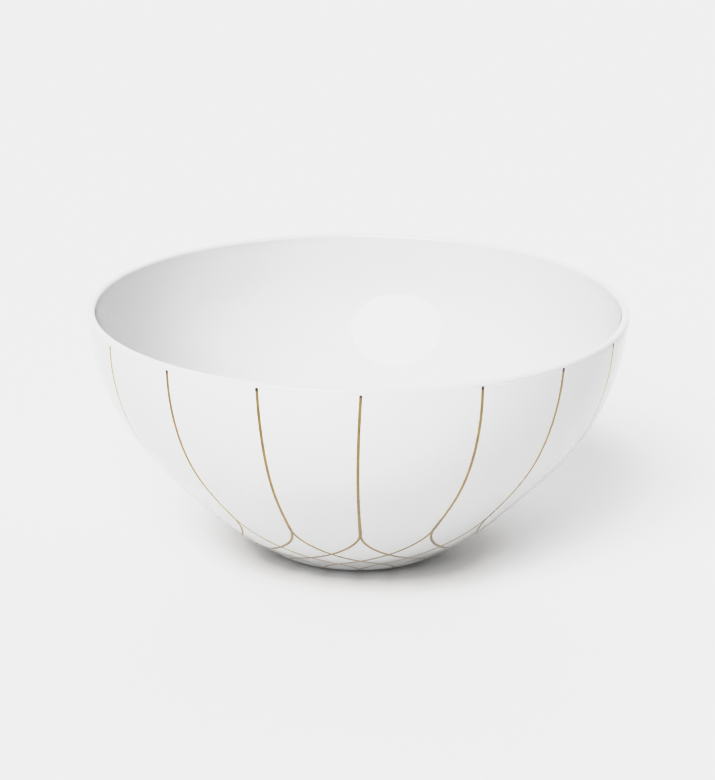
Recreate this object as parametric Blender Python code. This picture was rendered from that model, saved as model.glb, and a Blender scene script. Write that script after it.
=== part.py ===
"""Porcelain serving bowl with gilded lines.

A deep round bowl on a low, set-in foot ring, with a rounded lip. Sixteen upright
gold lines run down the outside. Each one forks near the base, and the branches cross
their neighbours in a net that ends just above the foot ring.

Metres, +Z up. The bowl's axis is Z and it stands on z = 0.
Azimuths are in degrees: 0 is -Y, the front, and +90 is +X.
"""

import math

import bmesh
import bpy
import numpy as np
from mathutils.geometry import delaunay_2d_cdt

MM = 0.001

# Porcelain body. Every profile point is (radius, height) in millimetres.
OUTER_WALL = (
    (33.6, 0.95),
    (36.5, 1.2),
    (39.5, 2.0),
    (47.5, 6.5),
    (58.5, 13.5),
    (72.1, 25.0),
    (90.0, 42.5),
    (109.0, 65.5),
    (120.8, 91.5),
    (124.3, 108.0),
    (125.0, 115.3),
)
INNER_WALL = (
    (0.0, 6.7),
    (20.0, 6.7),
    (38.0, 8.5),
    (54.0, 15.3),
    (69.0, 27.9),
    (87.0, 45.3),
    (105.5, 67.7),
    (117.1, 92.5),
    (121.2, 112.7),
)
FOOT_RING = (
    (33.1, 0.7),
    (32.7, 0.15),
    (32.4, 0.0),
    (30.2, 0.0),
    (29.7, 0.4),
    (29.0, 1.9),
    (27.8, 2.6),
    (0.0, 2.8),
)
LIP_RADIUS = 123.2
LIP_HEIGHT = 115.3
LIP_ROUNDING = 1.8
LIP_ARC_DEG = (30.0, 180.0)
LIP_STEPS = 5
OUTER_STEPS = 14
INNER_STEPS = 13
BODY_SEGMENTS = 64

# Gilding. It is drawn thicker than the real film, and stands a hair off the glaze.
GOLD_GAP = 0.3
GOLD_THICKNESS = 0.2
STEM_WIDTH = 1.1
BRANCH_WIDTH = 1.05
FORK_HEIGHT = 35.2
FORK_GAP = 0.3
STEM_STEPS = 11
BRANCH_STEPS = 11

# Each line was laid by hand: azimuth at the lip, azimuth at the fork, sideways bow,
# and height of its upper tip in millimetres.
GOLD_LINES = (
    (-63.5, -65.7, -0.4, 114.4),
    (-42.7, -43.0, 0.0, 114.7),
    (-20.8, -21.3, 0.5, 114.9),
    (0.6, 1.1, -0.7, 114.4),
    (26.0, 24.9, 0.6, 114.9),
    (47.0, 46.9, -0.5, 115.2),
    (67.4, 68.1, 0.1, 115.3),
    (88.9, 89.3, 0.3, 114.8),
    (115.1, 114.4, -0.3, 114.6),
    (136.6, 136.9, 0.3, 114.9),
    (158.1, 157.9, -0.2, 114.5),
    (179.6, 180.2, 0.4, 114.8),
    (205.8, 205.1, -0.4, 114.6),
    (227.3, 227.6, 0.2, 114.9),
    (248.8, 248.4, -0.3, 114.5),
    (270.3, 270.9, 0.3, 114.7),
)

# One branch below its fork: Bezier points as (sideways in pitches, millimetres down).
LINE_PITCH_DEG = 22.5
BRANCH_CURVE = ((0.0, 0.0), (0.0, 33.7), (2.11, 36.2), (2.1, 59.0))

PORCELAIN_COLOR = (0.83, 0.83, 0.82, 1.0)
GOLD_COLOR = (0.52, 0.34, 0.11, 1.0)


def clear_scene():
    for obj in list(bpy.data.objects):
        bpy.data.objects.remove(obj, do_unlink=True)


def principled(name, color, roughness, metallic):
    material = bpy.data.materials.new(name)
    material.use_nodes = True
    shader = material.node_tree.nodes["Principled BSDF"]
    shader.inputs["Base Color"].default_value = color
    shader.inputs["Roughness"].default_value = roughness
    shader.inputs["Metallic"].default_value = metallic
    material.diffuse_color = color
    return material


def add_object(name, mesh, material):
    for face in mesh.polygons:
        face.use_smooth = True
    mesh.materials.append(material)
    obj = bpy.data.objects.new(name, mesh)
    bpy.context.scene.collection.objects.link(obj)
    return obj


def natural_spline(knots, values, at):
    """Natural cubic spline through (knots, values), read at the given places."""
    step = np.diff(knots)
    rise = np.diff(values) / step
    count = len(knots)
    system = np.eye(count)
    target = np.zeros(count)
    for i in range(1, count - 1):
        system[i, i - 1] = step[i - 1]
        system[i, i] = 2.0 * (step[i - 1] + step[i])
        system[i, i + 1] = step[i]
        target[i] = 6.0 * (rise[i] - rise[i - 1])
    bend = np.linalg.solve(system, target)
    i = np.clip(np.searchsorted(knots, at) - 1, 0, count - 2)
    before = at - knots[i]
    after = knots[i + 1] - at
    cubic = (bend[i] * after**3 + bend[i + 1] * before**3) / (6.0 * step[i])
    start = (values[i] / step[i] - bend[i] * step[i] / 6.0) * after
    end = (values[i + 1] / step[i] - bend[i + 1] * step[i] / 6.0) * before
    return cubic + start + end


def smooth_curve(points, count):
    """Evenly spaced points on a smooth curve through the given ones."""
    points = np.array(points)
    chord = np.linalg.norm(np.diff(points, axis=0), axis=1)
    travel = np.concatenate(([0.0], np.cumsum(chord)))
    at = np.linspace(0.0, travel[-1], count)
    columns = [natural_spline(travel, points[:, axis], at) for axis in (0, 1)]
    return np.stack(columns, axis=1)


def lip_profile():
    """The rounded lip, from above its outermost point over the top to the inside."""
    angles = np.radians(np.linspace(*LIP_ARC_DEG, LIP_STEPS + 1))
    radius = LIP_RADIUS + LIP_ROUNDING * np.cos(angles)
    height = LIP_HEIGHT + LIP_ROUNDING * np.sin(angles)
    return np.stack([radius, height], axis=1)


def body_profile():
    """Whole section of the body, from the inside floor out over the lip to the base."""
    inner = smooth_curve(INNER_WALL, INNER_STEPS + 1)
    outer = smooth_curve(OUTER_WALL, OUTER_STEPS + 1)
    return np.concatenate([inner, lip_profile()[::-1], outer[::-1], np.array(FOOT_RING)])


def revolve(name, profile, segments, material):
    """Closed solid of revolution. The profile starts and ends on the axis."""
    shape = bmesh.new()
    rings = []
    for radius, height in profile[1:-1]:
        ring = []
        for i in range(segments):
            turn = 2.0 * math.pi * i / segments
            point = (radius * math.cos(turn), radius * math.sin(turn), height)
            ring.append(shape.verts.new([value * MM for value in point]))
        rings.append(ring)
    first = shape.verts.new((0.0, 0.0, profile[0][1] * MM))
    last = shape.verts.new((0.0, 0.0, profile[-1][1] * MM))
    for i in range(segments):
        j = (i + 1) % segments
        shape.faces.new((first, rings[0][i], rings[0][j]))
        shape.faces.new((last, rings[-1][j], rings[-1][i]))
        for upper, lower in zip(rings[:-1], rings[1:]):
            shape.faces.new((upper[i], lower[i], lower[j], upper[j]))
    bmesh.ops.recalc_face_normals(shape, faces=shape.faces)
    mesh = bpy.data.meshes.new(name)
    shape.to_mesh(mesh)
    shape.free()
    return add_object(name, mesh, material)


class WallSurface:
    """Outer wall of the bowl, addressed by azimuth and distance up from its foot."""

    def __init__(self, samples=600):
        points = smooth_curve(OUTER_WALL, samples)
        steps = np.linalg.norm(np.diff(points, axis=0), axis=1)
        self.travel = np.concatenate(([0.0], np.cumsum(steps)))
        self.radius = points[:, 0]
        self.height = points[:, 1]
        self.slope_out = np.gradient(self.radius, self.travel)
        self.slope_up = np.gradient(self.height, self.travel)

    def travel_at_height(self, height):
        return float(np.interp(height, self.height, self.travel))

    def radius_at(self, travel):
        return float(np.interp(travel, self.travel, self.radius))

    def point(self, azimuth, travel, lift):
        """Point in metres, lifted off the wall along its outward normal."""
        slope_up = np.interp(travel, self.travel, self.slope_up)
        slope_out = np.interp(travel, self.travel, self.slope_out)
        radius = np.interp(travel, self.travel, self.radius) + lift * slope_up
        height = np.interp(travel, self.travel, self.height) - lift * slope_out
        x = radius * math.sin(azimuth)
        y = -radius * math.cos(azimuth)
        return (x * MM, y * MM, height * MM)


def gold_solid(name, wall, outline_points, triangles, material):
    """Give a flat pattern on the wall its thickness, as one closed solid."""
    shape = bmesh.new()
    inner = []
    outer = []
    for azimuth, travel in outline_points:
        inner.append(shape.verts.new(wall.point(azimuth, travel, GOLD_GAP)))
        outer.append(shape.verts.new(wall.point(azimuth, travel, GOLD_GAP + GOLD_THICKNESS)))
    uses = {}
    for triangle in triangles:
        shape.faces.new([outer[i] for i in triangle])
        shape.faces.new([inner[i] for i in reversed(triangle)])
        for start, end in zip(triangle, triangle[1:] + triangle[:1]):
            key = (min(start, end), max(start, end))
            uses.setdefault(key, []).append((start, end))
    for borders in uses.values():
        if len(borders) == 1:
            start, end = borders[0]
            shape.faces.new((outer[end], outer[start], inner[start], inner[end]))
    bmesh.ops.recalc_face_normals(shape, faces=shape.faces)
    mesh = bpy.data.meshes.new(name)
    shape.to_mesh(mesh)
    shape.free()
    return add_object(name, mesh, material)


def stem_azimuth(line, down):
    """Azimuth of a line in radians, with down going from 0 at the lip to 1 at the fork."""
    top, fork, bow, _ = line
    return math.radians(top + (fork - top) * down + 4.0 * bow * down * (1.0 - down))


def build_stem(name, wall, line, material):
    """One upright gold line."""
    top = wall.travel_at_height(line[3])
    bottom = wall.travel_at_height(FORK_HEIGHT) + FORK_GAP / 2.0
    points = []
    for i in range(STEM_STEPS + 1):
        down = i / STEM_STEPS
        travel = top + (bottom - top) * down
        half_angle = STEM_WIDTH / 2.0 / wall.radius_at(travel)
        azimuth = stem_azimuth(line, down)
        points.append((azimuth - half_angle, travel))
        points.append((azimuth + half_angle, travel))
    triangles = []
    for i in range(STEM_STEPS):
        left = 2 * i
        triangles.append([left, left + 1, left + 2])
        triangles.append([left + 1, left + 3, left + 2])
    return gold_solid(name, wall, points, triangles, material)


def bezier(points, t):
    """Point on a cubic Bezier curve."""
    start, first, second, end = (np.array(point) for point in points)
    s = 1.0 - t
    return s**3 * start + 3.0 * s * s * t * first + 3.0 * s * t * t * second + t**3 * end


def branch_outline(wall, fork_azimuth, side):
    """Closed outline of one branch as (azimuth, travel) points."""
    fork = wall.travel_at_height(FORK_HEIGHT) - FORK_GAP / 2.0
    azimuths = []
    travels = []
    for i in range(BRANCH_STEPS + 1):
        pitches, down = bezier(BRANCH_CURVE, i / BRANCH_STEPS)
        azimuths.append(math.radians(fork_azimuth + side * pitches * LINE_PITCH_DEG))
        travels.append(fork - down)
    radii = np.array([wall.radius_at(travel) for travel in travels])
    sideways = np.gradient(np.array(azimuths)) * radii
    upward = np.gradient(np.array(travels))
    length = np.hypot(sideways, upward)
    half = BRANCH_WIDTH / 2.0
    azimuth_offset = half * upward / length / radii
    travel_offset = -half * sideways / length
    left = [(a - da, s - ds) for a, da, s, ds in zip(azimuths, azimuth_offset, travels, travel_offset)]
    right = [(a + da, s + ds) for a, da, s, ds in zip(azimuths, azimuth_offset, travels, travel_offset)]
    return left + right[::-1]


def build_lattice(name, wall, material):
    """Net of all the branches, joined where they cross.

    The outlines are joined on a flat map of the wall, whose centre is below the base
    and whose radius is the distance up the wall.
    """
    map_centre = OUTER_WALL[0][0]
    flat_points = []
    flat_faces = []
    for line in GOLD_LINES:
        for side in (-1, 1):
            outline = branch_outline(wall, line[1], side)
            first = len(flat_points)
            for azimuth, travel in outline:
                reach = map_centre + travel
                flat_points.append((reach * math.sin(azimuth), -reach * math.cos(azimuth)))
            flat_faces.append(list(range(first, first + len(outline))))
    points, _, faces, _, _, sources = delaunay_2d_cdt(flat_points, [], flat_faces, 0, 1e-5, True)
    triangles = [list(face) for face, source in zip(faces, sources) if source]
    used = sorted({i for triangle in triangles for i in triangle})
    renumber = {old: new for new, old in enumerate(used)}
    triangles = [[renumber[i] for i in triangle] for triangle in triangles]
    outline_points = []
    for i in used:
        x, y = points[i]
        outline_points.append((math.atan2(x, -y), math.hypot(x, y) - map_centre))
    return gold_solid(name, wall, outline_points, triangles, material)


def build():
    clear_scene()
    porcelain = principled("porcelain", PORCELAIN_COLOR, 0.1, 0.0)
    gold = principled("gold", GOLD_COLOR, 0.3, 1.0)
    revolve("porcelain_body", body_profile(), BODY_SEGMENTS, porcelain)
    wall = WallSurface()
    for number, line in enumerate(GOLD_LINES, start=1):
        build_stem(f"gold_line_{number:02d}", wall, line, gold)
    build_lattice("gold_lattice", wall, gold)


build()
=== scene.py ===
"""Looks of the porcelain serving bowl: fine surfaces, glaze, gilding, light and camera.

Metres, +Z up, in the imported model's frame. Profiles are typed in millimetres.
Azimuths are in degrees: 0 is -Y, the front, and +90 is +X.
"""

import math

import bmesh
import bpy
import numpy as np
from mathutils import Matrix, Vector
from mathutils.geometry import delaunay_2d_cdt


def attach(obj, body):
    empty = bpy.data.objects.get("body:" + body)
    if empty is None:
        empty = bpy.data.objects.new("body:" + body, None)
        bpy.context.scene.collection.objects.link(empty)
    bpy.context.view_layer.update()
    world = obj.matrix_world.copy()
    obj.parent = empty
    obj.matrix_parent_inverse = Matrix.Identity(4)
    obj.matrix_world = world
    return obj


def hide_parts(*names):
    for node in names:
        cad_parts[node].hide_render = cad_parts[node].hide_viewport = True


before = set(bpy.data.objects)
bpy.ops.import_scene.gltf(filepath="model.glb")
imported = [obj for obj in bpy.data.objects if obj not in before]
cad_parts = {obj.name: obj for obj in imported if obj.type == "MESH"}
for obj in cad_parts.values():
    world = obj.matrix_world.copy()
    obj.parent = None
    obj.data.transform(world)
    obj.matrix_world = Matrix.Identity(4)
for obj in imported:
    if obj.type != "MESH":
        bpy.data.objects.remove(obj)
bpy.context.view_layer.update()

MM = 0.001

# Porcelain profiles, as (radius, height) in millimetres.
OUTER_WALL = (
    (33.6, 0.95),
    (36.5, 1.2),
    (39.5, 2.0),
    (47.5, 6.5),
    (58.5, 13.5),
    (72.1, 25.0),
    (90.0, 42.5),
    (109.0, 65.5),
    (120.8, 91.5),
    (124.3, 108.0),
    (125.0, 115.3),
)
INNER_WALL = (
    (0.0, 6.7),
    (20.0, 6.7),
    (38.0, 8.5),
    (54.0, 15.3),
    (69.0, 27.9),
    (87.0, 45.3),
    (105.5, 67.7),
    (117.1, 92.5),
    (121.2, 112.7),
)
# Foot ring, from the wall down to its resting edge and up into the hollow under the bowl.
FOOT_OUTSIDE = (
    (33.35, 0.86),
    (33.18, 0.7),
    (33.08, 0.5),
    (33.0, 0.3),
    (32.88, 0.12),
    (32.7, 0.03),
)
FOOT_EDGE = ((32.5, 0.0), (30.3, 0.0))
FOOT_INSIDE = (
    (30.1, 0.03),
    (29.92, 0.14),
    (29.78, 0.35),
    (29.5, 1.1),
    (29.1, 1.8),
    (28.6, 2.3),
    (27.8, 2.6),
    (25.0, 2.72),
    (18.0, 2.78),
    (9.0, 2.8),
    (0.0, 2.8),
)
# Lip: one rounded arc between the two walls, with a faint crease below it outside.
LIP_RADIUS = 123.2
LIP_HEIGHT = 115.3
LIP_ROUNDING = 1.8
LIP_ARC_DEG = (-6.0, 180.0)
LIP_STEPS = 24
LIP_GROOVE_HEIGHT = 114.82
LIP_GROOVE_WIDTH = 0.36
LIP_GROOVE_DEPTH = 0.09
WALL_STEPS = 90
WALL_SAMPLES = 900
BODY_SEGMENTS = 256

# Gilding, in millimetres: a low rounded bead lying on the glaze.
BEAD_HEIGHT = 0.018
BEAD_SUNK = 0.02
BEAD_SECTION = (-1.0, -0.6, 0.0, 0.6, 1.0)
STEM_WIDTH = 1.15
STEM_STEPS = 60
DOT_RADIUS = 0.58
DOT_NECK = 1.6
DOT_STEPS = 12
FORK_HEIGHT = 35.2
FORK_OVERLAP = 0.4
BRANCH_WIDTH = 1.06
BRANCH_THINNING = 9.0
FLARE_WIDTH = 1.5
FLARE_LENGTH = 30.0
BRANCH_STEPS = 48
POOLED_FROM = 113.0
POOLED_FULL = 113.8

# Each line was laid by hand: azimuth at the lip, azimuth at the fork, sideways bow,
# and height of its upper tip in millimetres.
GOLD_LINES = (
    (-63.5, -65.7, -0.4, 114.4),
    (-42.7, -43.0, 0.0, 114.7),
    (-20.8, -21.3, 0.5, 114.9),
    (0.6, 1.1, -0.7, 114.4),
    (26.0, 24.9, 0.6, 114.9),
    (47.0, 46.9, -0.5, 115.2),
    (67.4, 68.1, 0.1, 115.3),
    (88.9, 89.3, 0.3, 114.8),
    (115.1, 114.4, -0.3, 114.6),
    (136.6, 136.9, 0.3, 114.9),
    (158.1, 157.9, -0.2, 114.5),
    (179.6, 180.2, 0.4, 114.8),
    (205.8, 205.1, -0.4, 114.6),
    (227.3, 227.6, 0.2, 114.9),
    (248.8, 248.4, -0.3, 114.5),
    (270.3, 270.9, 0.3, 114.7),
)

# One branch below its fork: Bezier points as (sideways in pitches, millimetres down).
LINE_PITCH_DEG = 22.5
BRANCH_CURVE = ((0.0, 0.0), (0.0, 33.7), (2.11, 36.2), (2.1, 59.0))

# Joining the outlines of the net. Output type 0 gives triangles out to the hull, and those
# outside every outline come from no face.
HULL_TRIANGLES = 0
MERGE_DISTANCE = 1e-4

# Light, as directions with what each adds, and one soft key.
DOME_LIGHT = (
    ((0.0, 1.0, 0.0), 0.93),
    ((0.0, 0.0, 1.0), 0.39),
    ((1.0, 0.0, 0.0), 0.38),
    ((-1.0, 0.0, 0.0), 0.2),
)
KEY_AZIMUTH_DEG = -21.6
KEY_ELEVATION_DEG = 39.9
KEY_WIDTH_DEG = 38.0
KEY_STRENGTH = 2.18

# Exposure curve from scene brightness to shown brightness. White ends at a pale grey.
TONES = ((0.45, 0.42), (0.55, 0.6), (0.65, 0.72), (0.75, 0.81), (0.85, 0.85))
WHITE_LEVEL = 0.871
COMBINED_CURVE = 3

# Camera. Distances are in metres and the lens in millimetres.
CAMERA_TARGET = (-0.0002, 0.0, 0.0766)
CAMERA_DISTANCE = 2.125
CAMERA_ELEVATION_DEG = 17.9
CAMERA_ROLL_DEG = 0.44
CAMERA_LENS = 211.2
CAMERA_SENSOR_WIDTH = 36.0
CAMERA_CLIP = (0.05, 50.0)

FLOOR_HALF_WIDTH = 8.0


# ---------------------------------------------------------------- curves and surfaces


def natural_spline(knots, values, at):
    """Natural cubic spline through (knots, values), read at the given places."""
    step = np.diff(knots)
    rise = np.diff(values) / step
    count = len(knots)
    system = np.eye(count)
    target = np.zeros(count)
    for i in range(1, count - 1):
        system[i, i - 1] = step[i - 1]
        system[i, i] = 2.0 * (step[i - 1] + step[i])
        system[i, i + 1] = step[i]
        target[i] = 6.0 * (rise[i] - rise[i - 1])
    bend = np.linalg.solve(system, target)
    i = np.clip(np.searchsorted(knots, at) - 1, 0, count - 2)
    before = at - knots[i]
    after = knots[i + 1] - at
    cubic = (bend[i] * after**3 + bend[i + 1] * before**3) / (6.0 * step[i])
    start = (values[i] / step[i] - bend[i] * step[i] / 6.0) * after
    end = (values[i + 1] / step[i] - bend[i + 1] * step[i] / 6.0) * before
    return cubic + start + end


def smooth_curve(points, count):
    """Evenly spaced points on a smooth curve through the given ones."""
    points = np.array(points)
    chord = np.linalg.norm(np.diff(points, axis=0), axis=1)
    travel = np.concatenate(([0.0], np.cumsum(chord)))
    at = np.linspace(0.0, travel[-1], count)
    columns = [natural_spline(travel, points[:, axis], at) for axis in (0, 1)]
    return np.stack(columns, axis=1)


def bezier(points, t):
    """Point on a cubic Bezier curve."""
    start, first, second, end = (np.array(point) for point in points)
    s = 1.0 - t
    return s**3 * start + 3.0 * s * s * t * first + 3.0 * s * t * t * second + t**3 * end


class WallSurface:
    """Outer wall of the bowl, read by azimuth and by distance travelled up from its foot."""

    def __init__(self):
        points = smooth_curve(OUTER_WALL, WALL_SAMPLES)
        steps = np.linalg.norm(np.diff(points, axis=0), axis=1)
        self.travel = np.concatenate(([0.0], np.cumsum(steps)))
        self.radius = points[:, 0]
        self.height = points[:, 1]
        self.slope_out = np.gradient(self.radius, self.travel)
        self.slope_up = np.gradient(self.height, self.travel)

    def travel_at_height(self, height):
        return float(np.interp(height, self.height, self.travel))

    def radius_at(self, travel):
        return np.interp(travel, self.travel, self.radius)

    def point(self, azimuth, travel, lift):
        """Point in metres, lifted off the wall along its outward normal."""
        slope_up = np.interp(travel, self.travel, self.slope_up)
        slope_out = np.interp(travel, self.travel, self.slope_out)
        radius = np.interp(travel, self.travel, self.radius) + lift * slope_up
        height = np.interp(travel, self.travel, self.height) - lift * slope_out
        x = radius * math.sin(azimuth)
        y = -radius * math.cos(azimuth)
        return (x * MM, y * MM, height * MM)


# ---------------------------------------------------------------- mesh helpers


def add_piece(name, shape, materials, *stands_for, slot):
    """Turn a bmesh into a smooth-shaded piece that moves with the root body."""
    bmesh.ops.recalc_face_normals(shape, faces=shape.faces)
    mesh = bpy.data.meshes.new(name)
    shape.to_mesh(mesh)
    shape.free()
    mesh.shade_smooth()
    for material in materials:
        mesh.materials.append(material)
    piece = bpy.data.objects.new(name, mesh)
    bpy.context.scene.collection.objects.link(piece)
    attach(piece, "root")
    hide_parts(*stands_for)


def build_porcelain(wall, glaze, bisque):
    """The body, turned from one closed section. Its foot edge is bare of glaze."""
    inner = smooth_curve(INNER_WALL, WALL_STEPS + 1)
    outer = smooth_curve(OUTER_WALL, WALL_STEPS + 1)
    outer = outer[outer[:, 1] < LIP_GROOVE_HEIGHT - LIP_GROOVE_WIDTH]
    groove = []
    for share in (0.0, 0.25, 0.5, 0.75, 1.0):
        height = LIP_GROOVE_HEIGHT + (share - 0.5) * LIP_GROOVE_WIDTH
        depth = LIP_GROOVE_DEPTH * math.sin(math.pi * share)
        groove.append((wall.radius_at(wall.travel_at_height(height)) - depth, height))
    angles = np.radians(np.linspace(*LIP_ARC_DEG, LIP_STEPS + 1))
    lip = np.stack(
        [
            LIP_RADIUS + LIP_ROUNDING * np.cos(angles),
            LIP_HEIGHT + LIP_ROUNDING * np.sin(angles),
        ],
        axis=1,
    )
    above_edge = np.concatenate([inner, lip[::-1], groove[::-1], outer[::-1], FOOT_OUTSIDE])
    profile = np.concatenate([above_edge, FOOT_EDGE, FOOT_INSIDE])
    bare_bands = range(len(above_edge) - 1, len(above_edge) + 2)

    shape = bmesh.new()
    rings = []
    for radius, height in profile[1:-1]:
        ring = []
        for i in range(BODY_SEGMENTS):
            turn = 2.0 * math.pi * i / BODY_SEGMENTS
            x = radius * math.cos(turn)
            y = radius * math.sin(turn)
            ring.append(shape.verts.new((x * MM, y * MM, height * MM)))
        rings.append(ring)
    floor_centre = shape.verts.new((0.0, 0.0, profile[0][1] * MM))
    base_centre = shape.verts.new((0.0, 0.0, profile[-1][1] * MM))
    for i in range(BODY_SEGMENTS):
        j = (i + 1) % BODY_SEGMENTS
        shape.faces.new((floor_centre, rings[0][i], rings[0][j]))
        shape.faces.new((base_centre, rings[-1][j], rings[-1][i]))
        for band, (upper, lower) in enumerate(zip(rings[:-1], rings[1:]), start=1):
            face = shape.faces.new((upper[i], lower[i], lower[j], upper[j]))
            face.material_index = int(band in bare_bands)
    add_piece("porcelain", shape, (glaze, bisque), "porcelain_body", slot="porcelain")


def stem_half_width(from_tip, length):
    """Half width of a line at a distance from its tip: a round dot, a shaft, a wider foot."""
    if from_tip < DOT_RADIUS:
        return math.sqrt(max(DOT_RADIUS**2 - (DOT_RADIUS - from_tip) ** 2, 0.01))
    narrowing = min((from_tip - DOT_RADIUS) / DOT_NECK, 1.0)
    ease = narrowing * narrowing * (3.0 - 2.0 * narrowing)
    flare = max(1.0 - (length - from_tip) / FLARE_LENGTH, 0.0) ** 2
    shaft = (STEM_WIDTH + (FLARE_WIDTH - STEM_WIDTH) * flare) / 2.0
    return DOT_RADIUS + (shaft - DOT_RADIUS) * ease


def build_stem(number, wall, line, gold):
    """One upright gold line, a low rounded bead with a pooled dot at its upper tip."""
    top_azimuth, fork_azimuth, bow, tip_height = line
    top = wall.travel_at_height(tip_height)
    length = top - wall.travel_at_height(FORK_HEIGHT) + FORK_OVERLAP
    tip_steps = np.linspace(0.0, DOT_RADIUS + DOT_NECK, DOT_STEPS)
    shaft_steps = np.linspace(DOT_RADIUS + DOT_NECK, length, STEM_STEPS)[1:]
    shape = bmesh.new()
    sections = []
    for from_tip in np.concatenate([tip_steps, shaft_steps]):
        down = from_tip / length
        bend = 4.0 * bow * down * (1.0 - down)
        azimuth = math.radians(top_azimuth + (fork_azimuth - top_azimuth) * down + bend)
        travel = top - from_tip
        half_angle = stem_half_width(from_tip, length) / wall.radius_at(travel)
        section = []
        for across in BEAD_SECTION:
            lift = BEAD_HEIGHT * (1.0 - across * across)
            section.append(wall.point(azimuth + across * half_angle, travel, lift))
        for across in (1.0, -1.0):
            section.append(wall.point(azimuth + across * half_angle, travel, -BEAD_SUNK))
        sections.append([shape.verts.new(point) for point in section])
    for upper, lower in zip(sections[:-1], sections[1:]):
        for i in range(len(upper)):
            j = (i + 1) % len(upper)
            shape.faces.new((upper[i], lower[i], lower[j], upper[j]))
    shape.faces.new(sections[0])
    shape.faces.new(sections[-1][::-1])
    node = f"gold_line_{number:02d}"
    add_piece(f"gilt_line_{number:02d}", shape, (gold,), node, slot="gold")


def branch_path(wall, fork_azimuth, side):
    """Centre line, sideways step and half width of one branch, from its fork down."""
    fork = wall.travel_at_height(FORK_HEIGHT)
    t = np.linspace(0.0, 1.0, BRANCH_STEPS + 1)
    course = np.array([bezier(BRANCH_CURVE, value) for value in t])
    azimuth = np.radians(fork_azimuth + side * course[:, 0] * LINE_PITCH_DEG)
    travel = fork - course[:, 1]
    radius = wall.radius_at(travel)
    sideways = np.gradient(azimuth) * radius
    upward = np.gradient(travel)
    length = np.hypot(sideways, upward)
    thinning = np.clip(course[:, 1] / BRANCH_THINNING, 0.0, 1.0)
    half = (STEM_WIDTH + (BRANCH_WIDTH - STEM_WIDTH) * thinning) / 2.0
    azimuth_step = half * upward / length / radius
    travel_step = -half * sideways / length
    return azimuth, travel, azimuth_step, travel_step, half


def bead_lift(wall, azimuth, travel, paths):
    """Height of the gold at a point: the highest of the beads that pass under it."""
    radius = wall.radius_at(travel)
    highest = 0.0
    for path_azimuth, path_travel, _, _, half in paths:
        turn = (path_azimuth - azimuth + math.pi) % (2.0 * math.pi) - math.pi
        across = turn * radius
        along = path_travel - travel
        start = np.stack([across[:-1], along[:-1]], axis=1)
        edge = np.stack([np.diff(across), np.diff(along)], axis=1)
        share = -(start * edge).sum(axis=1) / (edge * edge).sum(axis=1)
        share = np.clip(share, 0.0, 1.0)[:, None]
        distance = np.linalg.norm(start + share * edge, axis=1)
        nearest = int(distance.argmin())
        reach = min(distance[nearest] / half[nearest], 1.0)
        highest = max(highest, BEAD_HEIGHT * (1.0 - reach * reach))
    return highest


def build_net(wall, gold):
    """All the branches as one net, joined where they cross.

    The outlines and centre lines are joined on a flat map of the wall, whose centre is
    below the base and whose radius is the distance up the wall.
    """
    map_centre = OUTER_WALL[0][0]
    paths = []
    flat_points = []
    flat_edges = []
    flat_faces = []

    def flat(azimuth, travel):
        reach = map_centre + travel
        return (reach * math.sin(azimuth), -reach * math.cos(azimuth))

    for line in GOLD_LINES:
        for side in (-1, 1):
            path = branch_path(wall, line[1], side)
            paths.append(path)
            azimuth, travel, azimuth_step, travel_step, _ = path
            left = [flat(*p) for p in zip(azimuth - azimuth_step, travel - travel_step)]
            right = [flat(*p) for p in zip(azimuth + azimuth_step, travel + travel_step)]
            centre = [flat(*p) for p in zip(azimuth, travel)]
            first = len(flat_points)
            flat_points += left + right[::-1]
            flat_faces.append(list(range(first, len(flat_points))))
            first = len(flat_points)
            flat_points += centre
            flat_edges += [(i, i + 1) for i in range(first, len(flat_points) - 1)]

    points, _, faces, _, _, sources = delaunay_2d_cdt(
        flat_points, flat_edges, flat_faces, HULL_TRIANGLES, MERGE_DISTANCE, True
    )
    triangles = [list(face) for face, source in zip(faces, sources) if source]
    border = {}
    for triangle in triangles:
        for start, end in zip(triangle, triangle[1:] + triangle[:1]):
            border.setdefault(frozenset((start, end)), []).append((start, end))
    border = [uses[0] for uses in border.values() if len(uses) == 1]
    rim = {i for edge in border for i in edge}

    shape = bmesh.new()
    top = {}
    bottom = {}
    for i in sorted({i for triangle in triangles for i in triangle}):
        x, y = points[i]
        azimuth = math.atan2(x, -y)
        travel = math.hypot(x, y) - map_centre
        lift = 0.0 if i in rim else bead_lift(wall, azimuth, travel, paths)
        top[i] = shape.verts.new(wall.point(azimuth, travel, lift))
        bottom[i] = shape.verts.new(wall.point(azimuth, travel, -BEAD_SUNK))
    for triangle in triangles:
        shape.faces.new([top[i] for i in triangle])
        shape.faces.new([bottom[i] for i in reversed(triangle)])
    for start, end in border:
        shape.faces.new((top[end], top[start], bottom[start], bottom[end]))
    add_piece("gilt_net", shape, (gold,), "gold_lattice", slot="gold")


# ---------------------------------------------------------------- materials


def new_material(name, color, roughness, metallic=0.0):
    """A Principled material, with its node tree and shader."""
    material = bpy.data.materials.new(name)
    material.use_nodes = True
    material.diffuse_color = (*color, 1.0)
    nodes = material.node_tree.nodes
    shader = nodes["Principled BSDF"]
    shader.inputs["Base Color"].default_value = (*color, 1.0)
    shader.inputs["Roughness"].default_value = roughness
    shader.inputs["Metallic"].default_value = metallic
    return material, shader


def add_noise(tree, coordinates, scale, detail=2.0):
    noise = tree.nodes.new("ShaderNodeTexNoise")
    noise.inputs["Scale"].default_value = scale
    noise.inputs["Detail"].default_value = detail
    tree.links.new(coordinates, noise.inputs["Vector"])
    return noise.outputs["Fac"]


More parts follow.
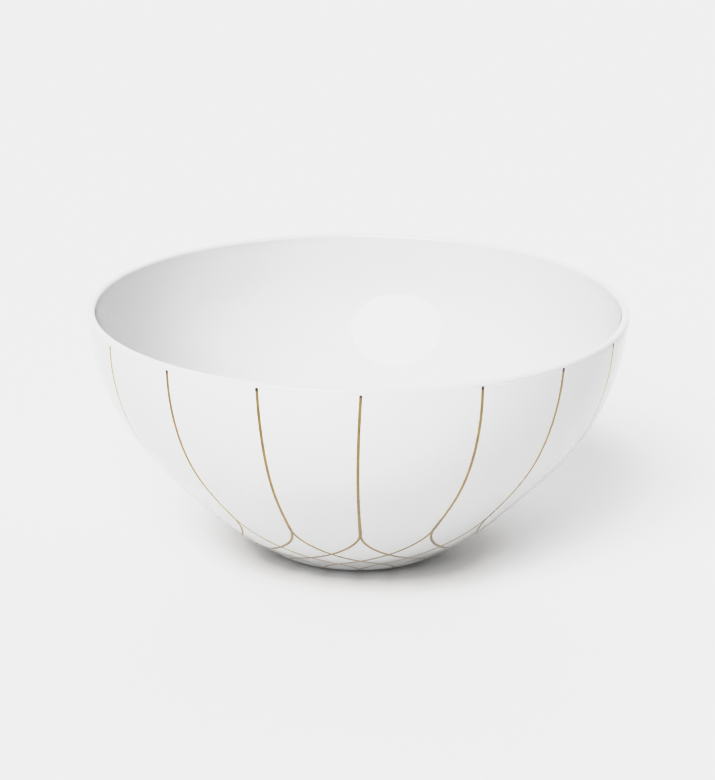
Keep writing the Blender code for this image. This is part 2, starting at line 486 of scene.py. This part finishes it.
def add_ramp(tree, factor, stops):
    """Colour ramp with (position, (r, g, b)) stops."""
    ramp = tree.nodes.new("ShaderNodeValToRGB")
    elements = ramp.color_ramp.elements
    while len(elements) < len(stops):
        elements.new(0.5)
    for element, (position, color) in zip(elements, stops):
        element.position = position
        element.color = (*color, 1.0)
    tree.links.new(factor, ramp.inputs["Fac"])
    return ramp.outputs["Color"]


def add_range(tree, value, low, high, to_low, to_high):
    node = tree.nodes.new("ShaderNodeMapRange")
    for name, number in (
        ("From Min", low),
        ("From Max", high),
        ("To Min", to_low),
        ("To Max", to_high),
    ):
        node.inputs[name].default_value = number
    tree.links.new(value, node.inputs["Value"])
    return node.outputs["Result"]


def add_sum(tree, first, second):
    node = tree.nodes.new("ShaderNodeMath")
    node.operation = "ADD"
    tree.links.new(first, node.inputs[0])
    tree.links.new(second, node.inputs[1])
    return node.outputs["Value"]


def add_bump(tree, height, distance, under=None):
    bump = tree.nodes.new("ShaderNodeBump")
    bump.inputs["Strength"].default_value = 1.0
    bump.inputs["Distance"].default_value = distance
    tree.links.new(height, bump.inputs["Height"])
    if under is not None:
        tree.links.new(under, bump.inputs["Normal"])
    return bump.outputs["Normal"]


def object_coordinates(tree):
    return tree.nodes.new("ShaderNodeTexCoord").outputs["Object"]


def make_glaze():
    """White porcelain under a clear gloss glaze, with a faint waviness and orange peel."""
    material, shader = new_material("glazed_porcelain", (0.785, 0.786, 0.788), 0.07)
    tree = material.node_tree
    place = object_coordinates(tree)
    cloud = add_noise(tree, place, 14.0, 3.0)
    tint = add_ramp(tree, cloud, ((0.3, (0.777, 0.779, 0.783)), (0.7, (0.795, 0.794, 0.792))))
    tree.links.new(tint, shader.inputs["Base Color"])
    patches = add_noise(tree, place, 45.0)
    gloss = add_range(tree, patches, 0.3, 0.7, 0.05, 0.1)
    tree.links.new(gloss, shader.inputs["Roughness"])
    waves = add_bump(tree, add_noise(tree, place, 22.0, 1.0), 0.00012)
    peel = add_bump(tree, add_noise(tree, place, 420.0, 1.0), 0.000003, waves)
    tree.links.new(peel, shader.inputs["Normal"])
    return material


def make_bisque():
    """Bare fired porcelain where the foot was wiped clean before firing."""
    material, shader = new_material("bare_foot", (0.78, 0.76, 0.71), 0.7)
    tree = material.node_tree
    place = object_coordinates(tree)
    grain = add_noise(tree, place, 900.0, 4.0)
    tint = add_ramp(tree, grain, ((0.35, (0.7, 0.67, 0.61)), (0.65, (0.8, 0.78, 0.74))))
    tree.links.new(tint, shader.inputs["Base Color"])
    tree.links.new(add_range(tree, grain, 0.3, 0.7, 0.6, 0.8), shader.inputs["Roughness"])
    tree.links.new(add_bump(tree, grain, 0.00003), shader.inputs["Normal"])
    return material


def make_gold():
    """Hand-laid burnished gold, uneven in tone, dark brown where it pooled at the tips."""
    material, shader = new_material("gilding", (0.435, 0.315, 0.1), 0.32, 1.0)
    shader.inputs["Coat Weight"].default_value = 1.0
    shader.inputs["Coat IOR"].default_value = 1.6
    shader.inputs["Coat Roughness"].default_value = 0.12
    tree = material.node_tree
    place = object_coordinates(tree)
    uneven = add_noise(tree, place, 160.0, 3.0)
    tone = add_ramp(tree, uneven, ((0.3, (0.36, 0.255, 0.08)), (0.7, (0.51, 0.375, 0.125))))
    height = tree.nodes.new("ShaderNodeSeparateXYZ")
    tree.links.new(place, height.inputs["Vector"])
    pooled = add_range(tree, height.outputs["Z"], POOLED_FROM * MM, POOLED_FULL * MM, 0.0, 1.0)
    mix = tree.nodes.new("ShaderNodeMix")
    mix.data_type = "RGBA"
    tree.links.new(pooled, mix.inputs["Factor"])
    tree.links.new(tone, mix.inputs["A"])
    mix.inputs["B"].default_value = (0.07, 0.035, 0.012, 1.0)
    tree.links.new(mix.outputs["Result"], shader.inputs["Base Color"])
    tree.links.new(add_range(tree, uneven, 0.3, 0.7, 0.25, 0.42), shader.inputs["Roughness"])
    tree.links.new(add_bump(tree, uneven, 0.00001), shader.inputs["Normal"])
    return material


# ---------------------------------------------------------------- stage


def build_floor():
    """Wide pale floor with a soft sheen. It is one-sided, so the base shows from below."""
    shape = bmesh.new()
    bmesh.ops.create_grid(shape, x_segments=1, y_segments=1, size=FLOOR_HALF_WIDTH)
    mesh = bpy.data.meshes.new("floor")
    shape.to_mesh(mesh)
    shape.free()
    material, shader = new_material("floor", (0.94, 0.94, 0.943), 0.35)
    shader.inputs["Specular IOR Level"].default_value = 0.3
    tree = material.node_tree
    seen_from = tree.nodes.new("ShaderNodeNewGeometry")
    see_through = tree.nodes.new("ShaderNodeBsdfTransparent")
    mix = tree.nodes.new("ShaderNodeMixShader")
    tree.links.new(seen_from.outputs["Backfacing"], mix.inputs["Fac"])
    tree.links.new(shader.outputs["BSDF"], mix.inputs[1])
    tree.links.new(see_through.outputs["BSDF"], mix.inputs[2])
    tree.links.new(mix.outputs["Shader"], tree.nodes["Material Output"].inputs["Surface"])
    mesh.materials.append(material)
    floor = bpy.data.objects.new("floor", mesh)
    bpy.context.scene.collection.objects.link(floor)


def build_dome():
    """Soft light from all round, brightest from behind, as from a lit studio backdrop."""
    world = bpy.data.worlds.new("studio")
    world.use_nodes = True
    tree = world.node_tree
    way = tree.nodes.new("ShaderNodeTexCoord").outputs["Generated"]
    total = None
    for direction, strength in DOME_LIGHT:
        facing = tree.nodes.new("ShaderNodeVectorMath")
        facing.operation = "DOT_PRODUCT"
        facing.inputs[1].default_value = direction
        tree.links.new(way, facing.inputs[0])
        part = add_range(tree, facing.outputs["Value"], 0.0, 1.0, 0.0, strength)
        total = part if total is None else add_sum(tree, total, part)
    background = tree.nodes["Background"]
    background.inputs["Color"].default_value = (1.0, 1.0, 1.0, 1.0)
    tree.links.new(total, background.inputs["Strength"])
    bpy.context.scene.world = world


def build_key():
    """One large softbox in front, to the left and above."""
    azimuth = math.radians(KEY_AZIMUTH_DEG)
    elevation = math.radians(KEY_ELEVATION_DEG)
    level = math.cos(elevation)
    source = Vector((level * math.sin(azimuth), -level * math.cos(azimuth), math.sin(elevation)))
    light = bpy.data.lights.new("key", "SUN")
    light.energy = KEY_STRENGTH
    light.angle = math.radians(KEY_WIDTH_DEG)
    lamp = bpy.data.objects.new("key", light)
    lamp.rotation_euler = source.to_track_quat("Z", "Y").to_euler()
    bpy.context.scene.collection.objects.link(lamp)


def set_exposure():
    """Bright studio exposure. The highlights roll off gently to a pale grey white."""
    view = bpy.context.scene.view_settings
    view.view_transform = "Standard"
    view.use_curve_mapping = True
    view.curve_mapping.extend = "HORIZONTAL"
    curve = view.curve_mapping.curves[COMBINED_CURVE]
    for place, value in TONES:
        curve.points.new(place, value)
    curve.points[-1].location = (1.0, WHITE_LEVEL)
    for point in curve.points:
        point.handle_type = "VECTOR"
    view.curve_mapping.update()


def build_camera():
    """A long lens in front of the bowl, looking a little down."""
    elevation = math.radians(CAMERA_ELEVATION_DEG)
    roll = math.radians(CAMERA_ROLL_DEG)
    forward = Vector((0.0, math.cos(elevation), -math.sin(elevation)))
    level_right = Vector((1.0, 0.0, 0.0))
    level_up = level_right.cross(forward)
    right = math.cos(roll) * level_right + math.sin(roll) * level_up
    up = math.cos(roll) * level_up - math.sin(roll) * level_right
    turn = Matrix((right, up, -forward)).transposed()
    data = bpy.data.cameras.new("camera")
    data.lens = CAMERA_LENS
    data.sensor_width = CAMERA_SENSOR_WIDTH
    data.clip_start, data.clip_end = CAMERA_CLIP
    camera = bpy.data.objects.new("camera", data)
    camera.location = Vector(CAMERA_TARGET) - forward * CAMERA_DISTANCE
    camera.rotation_euler = turn.to_euler()
    bpy.context.scene.collection.objects.link(camera)
    bpy.context.scene.camera = camera


# ---------------------------------------------------------------- build

set_exposure()
wall_surface = WallSurface()
gilding = make_gold()
build_porcelain(wall_surface, make_glaze(), make_bisque())
for line_number, gold_line in enumerate(GOLD_LINES, start=1):
    build_stem(line_number, wall_surface, gold_line, gilding)
build_net(wall_surface, gilding)
build_floor()
build_dome()
build_key()
build_camera()
